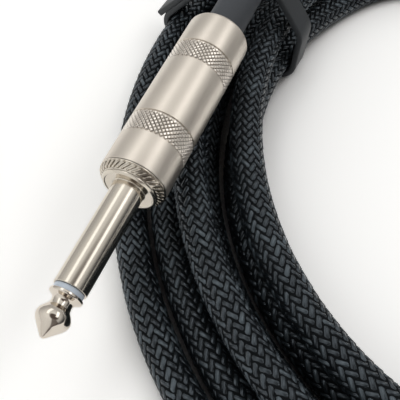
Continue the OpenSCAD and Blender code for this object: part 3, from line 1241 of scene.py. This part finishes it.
@dataclass
class Cable:
    """The braided cable: one tube from plug to plug, with the braid's yarn over it.

    Args:
        route: the way it takes.
        around: points round the tube.
        columns: columns of yarn floats round the cable.
        period: distance from one float to the next along a column, in millimetres.
        rise: how far a float bulges out, in millimetres.
        sunk: how far the tube lies under the braid's outside, as a share of that.
        slope: how many periods a float moves along while it crosses its column.
        reach: how far a float runs across its column, as a share of it.
        width: how far a float's short side reaches across its column, as a share of it.
        twist: how far the columns turn round the cable, in radians for each metre.
        parts: the names of the stretches that the braid is made in.
    """

    route: Route
    around: int = 20
    columns: int = 16
    period: float = 2.2
    rise: float = 0.30
    sunk: float = 0.75
    slope: float = 0.86
    reach: float = 1.02
    width: float = 0.56
    twist: float = 6.0
    parts: tuple[str, ...] = ("first_third", "middle_third", "last_third")

    def build(self) -> None:
        line = self.route.line()
        length = sum((b - a).length for a, b in zip(line, line[1:]))
        tube = self._tube(line)
        yarn = YarnFinish().build()
        share = round(length / len(self.parts) / (self.period * MM)) * self.period * MM
        braids = []
        for i, name in enumerate(self.parts):
            end = length if i == len(self.parts) - 1 else (i + 1) * share
            braids.append(self._braid(f"braid_{name}", line, i * share, end, yarn))
        for piece in braids:
            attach(piece, "cable")
        settle(tube, "cable", "cable_braid", "cable_lead_a", "cable_coil", "cable_lead_b")
        leave = (self.route.plug_a.along(self.route.shrink_end) + self.route.stand) * MM
        LOG.info("cable: %.3f m long", length)

    def _tube(self, line: Sequence[Vector]) -> Piece:
        """The tube under the braid's floats.

        Args:
            line: its middle line.

        Returns:
            The tube.
        """
        radius = (self.route.cord_d / 2 - self.sunk * self.rise) * MM
        n = self.around
        points: list[Vector] = []
        for i, p in enumerate(line):
            ahead = (line[min(i + 1, len(line) - 1)] - line[max(i - 1, 0)]).normalized()
            side = ahead.cross(Vector((0, 0, 1))).normalized()
            up = side.cross(ahead)
            for j in range(n):
                a = TAU * j / n
                v = p + radius * (math.cos(a) * side + math.sin(a) * up)
                points.append(Vector((v.x, v.y, max(v.z, 0.0))))
        rows = stacked(len(line), n)
        faces = skin(rows, flip=True) + [rows[0], rows[-1][::-1]]
        # The tube is the yarn that crosses under the floats, painted very dark as the shade in the
        # gaps between them.
        gap_shade_black = (0.003, 0.004, 0.005, 1)
        under = PlasticFinish("braid_shade", gap_shade_black, 0.8, relief=0.6, scale=2500.0, gloss=0.08)
        return mesh_object("braided_cable", points, faces, under.build())

    def _braid(
        self, name: str, line: Sequence[Vector], start: float, end: float, yarn: Material
    ) -> Piece:
        """The yarn floats of one stretch.

        Args:
            name: the piece's name.
            line: the cable's middle line.
            start: where the stretch starts, in metres along the cable.
            end: where it ends.
            yarn: its material.

        Returns:
            The piece.
        """
        mesh = bpy.data.meshes.new(name)
        mesh.from_pydata([tuple(p) for p in line], [(i, i + 1) for i in range(len(line) - 1)], [])
        seed = linked(name, mesh)
        values = {
            "Radius": (self.route.cord_d / 2 - self.rise) * MM, "Columns": self.columns,
            "Period": self.period * MM, "Start": start, "End": end, "Rise": self.rise * MM,
            "Slope": self.slope, "Reach": self.reach, "Width": self.width, "Twist": self.twist,
            "Material": yarn,
        }  # fmt: skip
        return grow(seed, braid_tree(), values)


# ---------------------------------------------------------------- the plugs


@dataclass(frozen=True)
class PlugSizes:
    """A plug's sizes in millimetres, along its axis from the collar's face.

    A name ends in r for a radius, l for a length, w for a width along the axis and t for a
    thickness. A tooth's fill is its share of the room it has, and its sweep is how many such
    rooms it leans over. A knurl's flat is the width of a diamond's top, as a share of it. The
    heat-shrink's ripple is how uneven it is, and its lip how far it narrows over the last
    twelfth of its length.
    """

    finger_r: float = 3.175
    finger_l: float = 30.5
    tip_r: float = 3.145
    tip_l: float = 8.1
    ring_l: float = 1.05
    ring_r: float = 2.8
    rod_r: float = 1.1
    bore_r: float = 2.25
    lip_r: float = 5.6
    rim_r: float = 6.75
    collar_l: float = 2.2
    boss_r: float = 5.2
    boss_end: float = 7.2
    thread_room: float = 1.5
    plate_t: float = 0.6
    handle_r: float = 6.8
    handle_front: float = 2.3
    handle_end: float = 42.4
    mouth_r: float = 5.25
    bore_back_r: float = 5.65
    back_wall: float = 1.6
    back_hole_r: float = 4.5
    knurl_w: float = 5.1
    knurl_fronts: tuple[float, float] = (9.4, 29.0)
    knurl_depth: float = 0.3
    knurl_around: int = 42
    knurl_rows: int = 9
    knurl_flat: float = 0.5
    knurl_bevel: float = 0.1
    teeth: int = 36
    tooth_height: float = 0.4
    tooth_fill: float = 0.6
    tooth_sweep: float = 1.4
    shrink_front: float = 29.5
    shrink_end: float = 69.4
    shrink_in: float = 3.75
    shrink_wall: float = 0.45
    shrink_ripple: float = 0.05
    shrink_lip: float = 0.12

    @property
    def rod_end(self) -> float:
        """The back of the tip's solder lug, where the rod is riveted over."""
        return self.boss_end + 2 * self.plate_t

    @property
    def tip_back(self) -> float:
        """The back of the tip contact."""
        return self.tip_l - self.finger_l

    @property
    def sleeve_front(self) -> float:
        """The front of the sleeve."""
        return self.tip_back + self.ring_l


@dataclass
class Plug:
    """One straight plug, with its turned metal, insulating ring, handle and heat-shrink.

    Args:
        key: a or b.
        place: where it lies.
        stand: how far the whole part is moved, in millimetres.
        sizes: its sizes.
    """

    key: str
    place: PlugPlace
    stand: Vector
    sizes: PlugSizes = PlugSizes()

    def __post_init__(self) -> None:
        """Works out its place and its metals."""
        self.matrix = self.place.matrix(self.stand)
        axis = self.place.heading
        # Each metal's last number is the painted shade in its grooves.
        self.polished, self.bright, self.satin, self.knurled = (
            MetalFinish(f"{name}_{self.key}", colour, roughness, rings, groove_shade).build(axis)
            for name, colour, roughness, rings, groove_shade in (
                ("polished_nickel", (0.655, 0.60, 0.52, 1), 0.18, 0.06, 0.9),
                ("tip_nickel", (0.66, 0.60, 0.525, 1), 0.09, 0.03, 0.6),
                ("satin_nickel", (0.70, 0.64, 0.565, 1), 0.38, 0.12, 0.18),
                # The knurl's nickel is paler than the handle's, a painted highlight on the knurl.
                ("knurl_nickel_painted_bright", (0.88, 0.82, 0.75, 1), 0.3, 0.05, 0.75),
            )
        )

    def build(self) -> None:
        """Makes every piece that shows and dresses those inside."""
        self.tip()
        self.ring()
        self.body()
        self.handle()
        self.shrink()
        self.inside()

    def turned(
        self,
        name: str,
        profile: Outline,
        stuff: Material,
        closed: bool = True,
        around: int = 128,
        crease: float = 32.0,
    ) -> Piece:
        """A piece turned round the plug's axis.

        Args:
            name: its name.
            profile: (radius, distance along the axis) in millimetres.
            stuff: its material.
            closed: whether the profile's end joins its start.
            around: how many steps the turn takes.
            crease: the angle in degrees past which an edge stays sharp.

        Returns:
            The piece.
        """
        points, faces = lathe(profile, self.matrix, around, closed)
        return mesh_object(name, points, faces, stuff, crease)

    def seat(self, piece: Piece, slot: str, part: str, body: str = "cable") -> None:
        """Puts a piece in place of one of the plug's solids."""
        settle(piece, body, slot, f"plug_{self.key}_{part}")

    def grown(self, name: str, tree: Tree, values: dict) -> Piece:
        """A form grown by a node tree in the plug's own millimetres, put in its place.

        Args:
            name: the form's name.
            tree: the node tree.
            values: the tree's inputs by name.

        Returns:
            The form.
        """
        piece = grow(linked(name, bpy.data.meshes.new(name)), tree, values)
        piece.data.transform(self.matrix)
        return piece

    def tip(self) -> None:
        """The tip contact: point, ball, waist and flange, with its rod and riveted end."""
        z = self.sizes
        back, front = z.tip_back, -z.finger_l
        nose = flowing(
            [
                (0.0, front), (0.36, front + 0.06), (0.95, front + 0.62), (1.8, front + 1.5),
                (2.55, front + 2.3), (2.98, front + 2.95), (z.tip_r, front + 3.6),
                (3.02, front + 4.25), (2.62, front + 4.95), (2.14, front + 5.6),
                (1.95, front + 6.2), (2.0, front + 6.75), (2.35, front + 7.15),
            ]
        )  # fmt: skip
        flange = rounded(
            [
                nose[-1] + (0.0,), (z.tip_r - 0.12, back - 0.6, 0.2), (z.tip_r, back - 0.42, 0.15),
                (z.tip_r, back, 0.1), (z.rod_r, back, 0.0), (z.rod_r, z.rod_end, 0.0),
                (z.rod_r + 0.5, z.rod_end, 0.15), (z.rod_r + 0.3, z.rod_end + 0.6, 0.25),
                (0.0, z.rod_end + 0.7, 0.0),
            ]
        )  # fmt: skip
        profile = nose + flange[1:]
        piece = self.turned(f"plug_{self.key}_turned_tip", profile, self.bright, closed=False)
        self.seat(piece, "polished_nickel", "tip")

    def ring(self) -> None:
        """The insulating ring behind the tip."""
        z = self.sizes
        profile = rounded(
            [
                (z.rod_r + 0.05, z.tip_back, 0.0), (z.ring_r, z.tip_back, 0.12),
                (z.ring_r, z.sleeve_front, 0.12), (z.rod_r + 0.05, z.sleeve_front, 0.0),
            ]
        )  # fmt: skip
        blue = (0.56, 0.63, 0.72, 1)
        pale = PlasticFinish(f"insulating_ring_{self.key}", blue, 0.32, relief=0.04).build()
        piece = self.turned(f"plug_{self.key}_pale_ring", profile, pale)
        self.seat(piece, "insulator", "front_ring")

    def body(self) -> None:
        """Sleeve, collar and screw boss in one, with the slanted teeth round its bevel."""
        z = self.sizes
        profile = rounded(
            [
                (z.bore_r, z.sleeve_front, 0.0), (z.finger_r, z.sleeve_front, 0.12),
                (z.finger_r, 0.3, 0.2), (z.lip_r - 0.8, 0.14, 0.05), (z.lip_r - 0.66, 0.0, 0.08),
                (z.lip_r - 0.4, 0.0, 0.12), (z.lip_r, 0.32, 0.12), (z.lip_r, 0.5, 0.1),
                (z.lip_r - 0.15, 0.62, 0.05), (z.lip_r, 0.75, 0.05), (z.rim_r - 0.2, 1.95, 0.05),
                (z.rim_r, 2.0, 0.06), (z.rim_r, z.collar_l, 0.06), (z.boss_r, z.collar_l, 0.0),
                (z.boss_r, z.boss_end - 0.2, 0.0), (z.boss_r - 0.2, z.boss_end, 0.0),
                (z.bore_r, z.boss_end, 0.0),
            ]
        )  # fmt: skip
        turned = self.turned("turned", profile, self.polished)
        values = {
            "Teeth": z.teeth, "Small": z.lip_r - 0.02, "Large": z.rim_r - 0.24,
            "Front": 0.76, "Back": 1.96, "Height": z.tooth_height, "Fill": z.tooth_fill,
            "Sweep": z.tooth_sweep, "Material": self.polished,
        }  # fmt: skip
        teeth = self.grown("teeth", teeth_tree(), values)
        piece = join(f"plug_{self.key}_turned_body", [turned, teeth], crease=50.0)
        self.seat(piece, "polished_nickel", "body")

    def handle(self) -> None:
        """The screw-on shell, with its two diamond-knurled bands."""
        z = self.sizes
        root = z.handle_r - z.knurl_depth
        outline = [(z.mouth_r, z.handle_front, 0.0), (z.handle_r, z.handle_front, 0.15)]
        for start in z.knurl_fronts:
            end = start + z.knurl_w
            outline += [(z.handle_r, start, 0.06), (root, start + z.knurl_bevel, 0.05)]
            outline += [(root, end - z.knurl_bevel, 0.05), (z.handle_r, end, 0.06)]
        thread_end = z.boss_end + z.thread_room
        outline += [
            (z.handle_r, z.handle_end, 0.8), (z.back_hole_r, z.handle_end, 0.2),
            (z.back_hole_r, z.handle_end - z.back_wall, 0.0),
            (z.bore_back_r, z.handle_end - z.back_wall, 0.0), (z.bore_back_r, thread_end, 0.0),
            (z.mouth_r, thread_end, 0.0),
        ]  # fmt: skip
        shell = self.turned("shell", rounded(outline), self.satin)
        bands = []
        for start in z.knurl_fronts:
            values = {
                "Around": z.knurl_around, "Rows": z.knurl_rows, "Radius": z.handle_r + 0.02,
                "Depth": z.knurl_depth, "Start": start + z.knurl_bevel,
                "Width": z.knurl_w - 2 * z.knurl_bevel,
                "Flat": z.knurl_flat, "Material": self.knurled,
            }  # fmt: skip
            bands.append(self.grown("knurl", knurl_tree(), values))
        piece = join(f"plug_{self.key}_knurled_handle", [shell, *bands], crease=28.0)
        self.seat(piece, "satin_nickel", "handle", f"handle_{self.key}")

    def shrink(self) -> None:
        """The heat-shrink tube, drawn down over the braid and a little uneven."""
        z = self.sizes
        steps = 60
        outer = z.shrink_in + z.shrink_wall
        outside = []
        for k in range(steps + 1):
            w = k / steps
            ripple = z.shrink_ripple * math.sin(37 * w) * math.sin(11 * w + 1)
            lip = z.shrink_lip * max(0.0, 1 - (1 - w) * 12)
            radius = outer - z.shrink_ripple + min(ripple, z.shrink_ripple) - lip
            outside.append((radius, mix(z.shrink_front, z.shrink_end, w)))
        inside = [(z.shrink_in, z.shrink_end), (z.shrink_in, z.shrink_front)]
        grey = (0.042, 0.047, 0.055, 1)
        dark = PlasticFinish(
            f"heat_shrink_{self.key}", grey, 0.62, relief=0.6, scale=1400.0, gloss=0.42
        ).build()
        name = f"plug_{self.key}_heat_shrink"
        piece = self.turned(name, outside + inside, dark, around=64, crease=40.0)
        self.seat(piece, "heat_shrink", "shrink")

    def inside(self) -> None:
        """Dresses the solids inside the plug."""
        axis = self.place.heading
        stuffs = {
            Stuff.PALE: PlasticFinish("pale_plastic", (0.7, 0.69, 0.64, 1), 0.5),
            Stuff.FIBRE: PlasticFinish("pressed_fibre", (0.15, 0.05, 0.025, 1), 0.7),
            Stuff.TINNED: MetalFinish("tinned_brass", (0.6, 0.55, 0.42, 1), 0.35, 0.3),
            Stuff.RUBBER: PlasticFinish("jacket_rubber", (0.01, 0.01, 0.01, 1), 0.8),
            Stuff.COPPER: MetalFinish("bare_copper", (0.75, 0.35, 0.2, 1), 0.35, 0.4),
        }
        for stuff, finish in stuffs.items():
            finish = replace(finish, name=f"{finish.name}_{self.key}")
            metal = isinstance(finish, MetalFinish)
            material = finish.build(axis) if metal else finish.build()
            for part in stuff.value:
                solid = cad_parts[f"plug_{self.key}_{part}"]
                solid.data.materials.clear()
                solid.data.materials.append(material)
        LOG.info("plug_%s: the pieces inside it are dressed", self.key)


# ---------------------------------------------------------------- the strap


@dataclass
class TieStrap:
    """The strap round the coil, with its free end lying down the outer side.

    Args:
        route: the cable that it ties.
        width: its width in millimetres.
        gap: its distance from what it goes round.
        slack: its room beside the upper layer's inner turn.
        end: how far its free end runs on past the outer turn.
        lap: how much of its free end lies back on the loop.
        edge: how round its long edges are.
        plug_room: how much thicker than the cable the plug counts where it passes.
        rest: how far the free end stays off the loop.
    """

    route: Route
    width: float = 6.0
    gap: float = 0.3
    slack: float = 2.5
    end: float = 3.0
    lap: float = 10.0
    edge: float = 0.35
    plug_room: float = 0.5
    rest: float = 0.2

    def build(self) -> None:
        """Makes the strap."""
        grey = (0.034, 0.038, 0.042, 1)
        finish = PlasticFinish("strap_cloth", grey, 0.55, relief=0.5, scale=2200.0, gloss=0.4)
        cloth = finish.build()
        loop = self._ribbon("loop", self._around(), cloth, closed=True)
        tail = self._ribbon("tail", self._tail(), cloth, closed=False)
        piece = join("tie_strap_cloth", [loop, tail], crease=40.0)
        settle(piece, "cable", "strap_fabric", "tie_strap")

    def _frame(self) -> tuple[Vector, Vector, Vector]:
        """The plane that the strap lies in.

        Returns:
            A point of it, the way out from the coil's middle and the way across the plane.
        """
        a = math.radians(self.route.tie_angle)
        middle = Vector((*self.route.upper_mid, 0))
        return middle, Vector((math.cos(a), math.sin(a), 0)), Vector((math.sin(a), -math.cos(a), 0))

    def _bundle(self) -> list[tuple[float, float, float]]:
        """What the strap goes round.

        Returns:
            Distance out, height and radius of each turn of cable and of the plug.
        """
        middle, out, across = self._frame()
        r = self.route.cord_d / 2
        found = []
        for t in (1, 4, 5, 6):
            p = self.route.coil_point(t)
            found.append(((p - middle).dot(out) - (self.slack if t == 5 else 0), p.z, r))
        plug = self.route.plug_a
        d = plug.heading
        face = plug.along(0)
        p = face - d * ((face - middle).dot(across) / d.dot(across))
        found.append(((p - middle).dot(out), p.z, r + self.plug_room))
        return found

    def _around(self) -> Outline:
        """The strap's middle line round the bundle.

        Returns:
            A convex outline.
        """
        grow_by = self.gap + self.route.strap_t / 2
        floor = self.route.strap_t / 2 + 0.03
        spots = []
        for x, z, r in self._bundle():
            for k in range(72):
                a = TAU * k / 72
                height = max(z + (r + grow_by) * math.sin(a), floor)
                spots.append((x + (r + grow_by) * math.cos(a), height))
        spots = sorted(set(spots))
        outline: Outline = []
        for side in (spots, spots[::-1]):
            chain: Outline = []
            for p in side:
                while len(chain) > 1 and (
                    (chain[-1][0] - chain[-2][0]) * (p[1] - chain[-2][1])
                    - (chain[-1][1] - chain[-2][1]) * (p[0] - chain[-2][0])
                ) <= 0:  # fmt: skip
                    chain.pop()
                chain.append(p)
            outline += chain[:-1]
        return self._even(outline + outline[:1])[:-1]

    def _even(self, outline: Outline, step: float = 0.8) -> Outline:
        """Fills up an outline.

        Args:
            outline: its corners.
            step: how far apart its points may be.

        Returns:
            The outline's points.
        """
        out = []
        for a, b in zip(outline, outline[1:]):
            parts = max(1, math.ceil(math.dist(a, b) / step))
            out += [(mix(a[0], b[0], k / parts), mix(a[1], b[1], k / parts)) for k in range(parts)]
        return out + [outline[-1]]

    def _tail(self) -> Outline:
        """The middle line of the free end.

        Returns:
            The line's points.
        """
        bundle = self._bundle()
        outer, top = bundle[0], bundle[4]
        slope = math.atan2(top[1] - outer[1], outer[0] - top[0])
        along = (math.cos(slope), -math.sin(slope))
        off = (math.sin(slope), math.cos(slope))
        lift = outer[2] + self.rest + 1.5 * self.route.strap_t
        return self._even(
            [
                (outer[0] + lift * off[0] + s * along[0], outer[1] + lift * off[1] + s * along[1])
                for s in (-self.lap, self.end)
            ]
        )

    def _ribbon(
        self, name: str, line: Outline, cloth: Material, closed: bool
    ) -> Piece:
        """A strap of rounded section along a line in the tie's plane.

        Args:
            name: the object's name.
            line: (distance out, height) points.
            cloth: its material.
            closed: whether the line's end joins its start.

        Returns:
            The ribbon.
        """
        middle, out, across = self._frame()
        half_w, half_t, r = self.width / 2, self.route.strap_t / 2, self.edge
        section = []
        for cx, cy, start in (
            (half_w - r, half_t - r, 0), (r - half_w, half_t - r, 90),
            (r - half_w, r - half_t, 180), (half_w - r, r - half_t, 270),
        ):  # fmt: skip
            for k in range(4):
                a = math.radians(start + 30 * k)
                section.append((cx + r * math.cos(a), cy + r * math.sin(a)))
        count = len(line)
        points = []
        for i in range(count):
            before = line[(i - 1) % count] if closed else line[max(i - 1, 0)]
            after = line[(i + 1) % count] if closed else line[min(i + 1, count - 1)]
            ahead = Vector((after[0] - before[0], after[1] - before[1])).normalized()
            normal = Vector((ahead.y, -ahead.x))
            for w, t in section:
                x, z = line[i][0] + t * normal.x, line[i][1] + t * normal.y
                spot = middle + x * out + w * across + Vector((0, 0, max(z, 0.02)))
                points.append((spot + self.route.stand) * MM)
        rows = stacked(count, len(section))
        faces = skin(rows + rows[:1]) if closed else skin(rows) + [rows[0][::-1], rows[-1]]
        ribbon = mesh_object(name, points, faces, cloth)
        bm = bmesh.new()
        bm.from_mesh(ribbon.data)
        bmesh.ops.recalc_face_normals(bm, faces=bm.faces)
        bm.to_mesh(ribbon.data)
        bm.free()
        return ribbon


# ---------------------------------------------------------------- the studio


@dataclass(frozen=True)
class SoftBox:
    """A large lamp far off, long in the direction that the first plug points.

    Args:
        name: its name.
        towards: where it hangs, seen from the part.
        width: its width in metres.
        length: its length in metres.
        shine: how bright its face is, where 1 is white.
        far: how far off it hangs, in metres.
    """

    name: str
    towards: Point
    width: float
    length: float
    shine: float
    far: float = 1.0

    def build(self, grain: Vector) -> None:
        """Makes the lamp.

        Args:
            grain: the direction that its long side lies along.
        """
        z = Vector(self.towards).normalized()
        y = (grain - z * grain.dot(z)).normalized()
        x = y.cross(z)
        lamp = bpy.data.lights.new(self.name, "AREA")
        lamp.shape = "RECTANGLE"
        lamp.size, lamp.size_y = self.width, self.length
        lamp.energy = self.shine * math.pi * self.width * self.length
        turned = Matrix((x, y, z)).transposed().to_4x4()
        linked(self.name, lamp).matrix_world = Matrix.Translation(z * self.far) @ turned


@dataclass(frozen=True)
class Studio:
    """A pale floor, soft lights and the camera.

    Args:
        route: the cable that it lights, whose first plug the lamps lie along.
        eye: where the camera is, in the route's millimetres.
        tilt: the camera's tilt up from straight down, in degrees.
        lens: its focal length in millimetres, for a sensor 36 mm wide.
    """

    route: Route
    eye: Point = (-93.9, -88.2, 119.5)
    tilt: float = 33.8
    lens: float = 58.5

    def build(self) -> None:
        """Makes everything that isn't the object."""
        self._floor()
        self._world()
        for box in (
            SoftBox("window", (-0.21, 0.41, 0.885), 0.30, 1.4, 0.86),
            SoftBox("lamp", (0.62, 0.07, 0.78), 0.28, 1.4, 1.3),
        ):
            box.build(self.route.plug_a.heading)
        self._camera()

    def _floor(self) -> None:
        """A wide floor at the height that the coil lies on."""
        bpy.ops.mesh.primitive_plane_add(size=6.0, location=(0, 0, -0.0002))
        floor = bpy.context.object
        floor.name = "pale_floor"
        floor.data.materials.append(FloorFinish().build())

    def _world(self) -> None:
        """A soft room, white to the camera: bright overhead and at the left, dark at the right.

        A dark shape stands where the person with the camera would, for the metal to reflect.
        """
        world = bpy.data.worlds.new("soft_room")
        world.use_nodes = True
        world.node_tree.nodes.clear()
        s = NodeSheet(world.node_tree)
        way = s.node("TexCoord").outputs["Generated"]
        _, _, up = s.split(way)
        # How near a direction is to the dark corner, to the left, to the person's head and to
        # the person's middle, and how far it lies beside that.
        side, glow, near, front, beside = (
            s.vmath("DOT_PRODUCT", way, direction)
            for direction in (
                (0.92, -0.39, 0.0), (-0.8, -0.6, 0.0), (0.2, -0.42, 0.885), (0.1, -0.99, 0.0),
                (0.99, 0.1, 0.0),
            )
        )  # fmt: skip
        low = s.less(side, s.product(s.math("ABSOLUTE", up), 1.3))
        band = s.less(front, s.product(s.math("ABSOLUTE", beside), 2.6))
        sky = [(0.72, (0.42, 0.42, 0.415, 1)), (0.95, (0.66, 0.66, 0.65, 1))]
        room, corner, left, head, tall = (
            s.ramp(value, stops)
            for value, stops in (
                (s.line(up, 0.5, 0.5), [(0.5, (0.36, 0.355, 0.35, 1)), *sky]),
                (low, [(0.27, WHITE), (0.72, (0.16, 0.16, 0.17, 1))]),
                (glow, [(0.25, BLACK), (0.9, (0.26, 0.26, 0.255, 1))]),
                (near, [(0.84, BLACK), (0.92, (0.95, 0.95, 0.95, 1))]),
                (band, [(0.05, BLACK), (0.3, (0.8, 0.8, 0.8, 1))]),
            )
        )
        room = s.vmath("ADD", s.vmath("MULTIPLY", room, corner), left)
        person = s.vmath("MAXIMUM", head, tall)
        dark = s.blend(person, room, (0.05, 0.032, 0.026, 1))
        seen = s.node("LightPath").outputs["Is Camera Ray"]
        light = s.first("Background", {"Color": dark, "Strength": 1.36})
        white = s.first("Background", {"Color": WHITE, "Strength": 1.0})
        s.node("OutputWorld", {0: s.first("MixShader", {0: seen, 1: light, 2: white})})
        bpy.context.scene.world = world

    def _camera(self) -> None:
        """The camera, turned by its tilt alone."""
        data = bpy.data.cameras.new("camera")
        data.lens = self.lens
        data.sensor_width = 36
        data.clip_start = 0.005
        camera = linked("camera", data)
        camera.location = (Vector(self.eye) + self.route.stand) * MM
        camera.rotation_euler = (math.radians(self.tilt), 0, 0)
        bpy.context.scene.camera = camera


def main() -> None:
    """Builds the cable, the plugs and the strap, and lights them."""
    logging.basicConfig(level=logging.INFO, format="%(name)s: %(message)s")
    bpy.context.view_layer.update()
    bpy.context.scene.view_settings.view_transform = "Standard"
    route = Route()
    Studio(route).build()
    Cable(route).build()
    for key, place in (("a", route.plug_a), ("b", route.plug_b)):
        Plug(key, place, route.stand).build()
    TieStrap(route).build()


if __name__ == "__main__":
    main()
